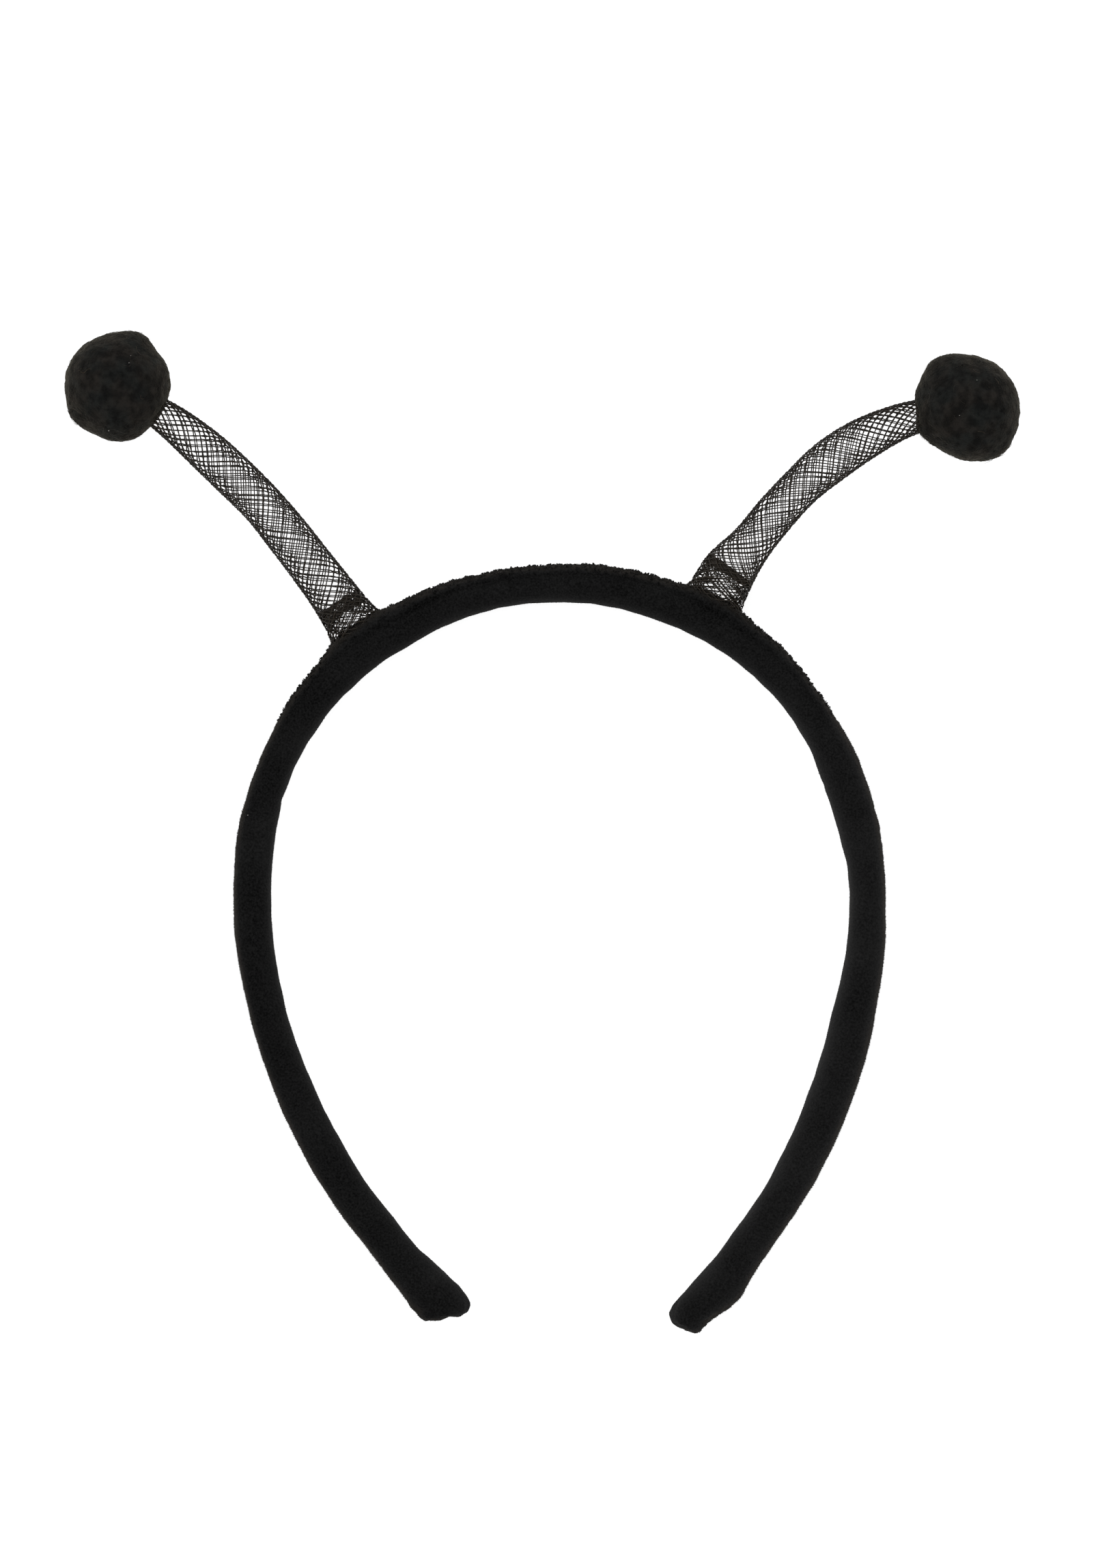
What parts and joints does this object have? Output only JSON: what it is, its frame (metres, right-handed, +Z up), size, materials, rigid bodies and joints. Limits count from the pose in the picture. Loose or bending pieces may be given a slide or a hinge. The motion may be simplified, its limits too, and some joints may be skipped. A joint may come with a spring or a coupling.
{
  "type": "antenna headband",
  "caption": "Padded velvet headband with curved antennae of braided net tube springing from its shoulders and ending in dense pompoms, lying on its side.",
  "frame": {"origin": "centre of the part's footprint, on the floor that it lies on", "axes": "+Z up from the floor, +Y from the band's tips towards its crown, +X to the right as seen from above"},
  "size_m": [0.2051, 0.2151, 0.0228],
  "materials": {
    "velvet": "black velvet with a short cut pile and a soft sheen at grazing angles",
    "net": "fine black braided tubular net of stiff monofilament strands",
    "yarn": "dense matt black felted fibre with stray hairs"
  },
  "bodies": {
    "root": {"velvet_band": "velvet", "left_antenna_net": "net", "right_antenna_net": "net", "left_pompom": "yarn", "right_pompom": "yarn"}
  },
  "joints": []
}
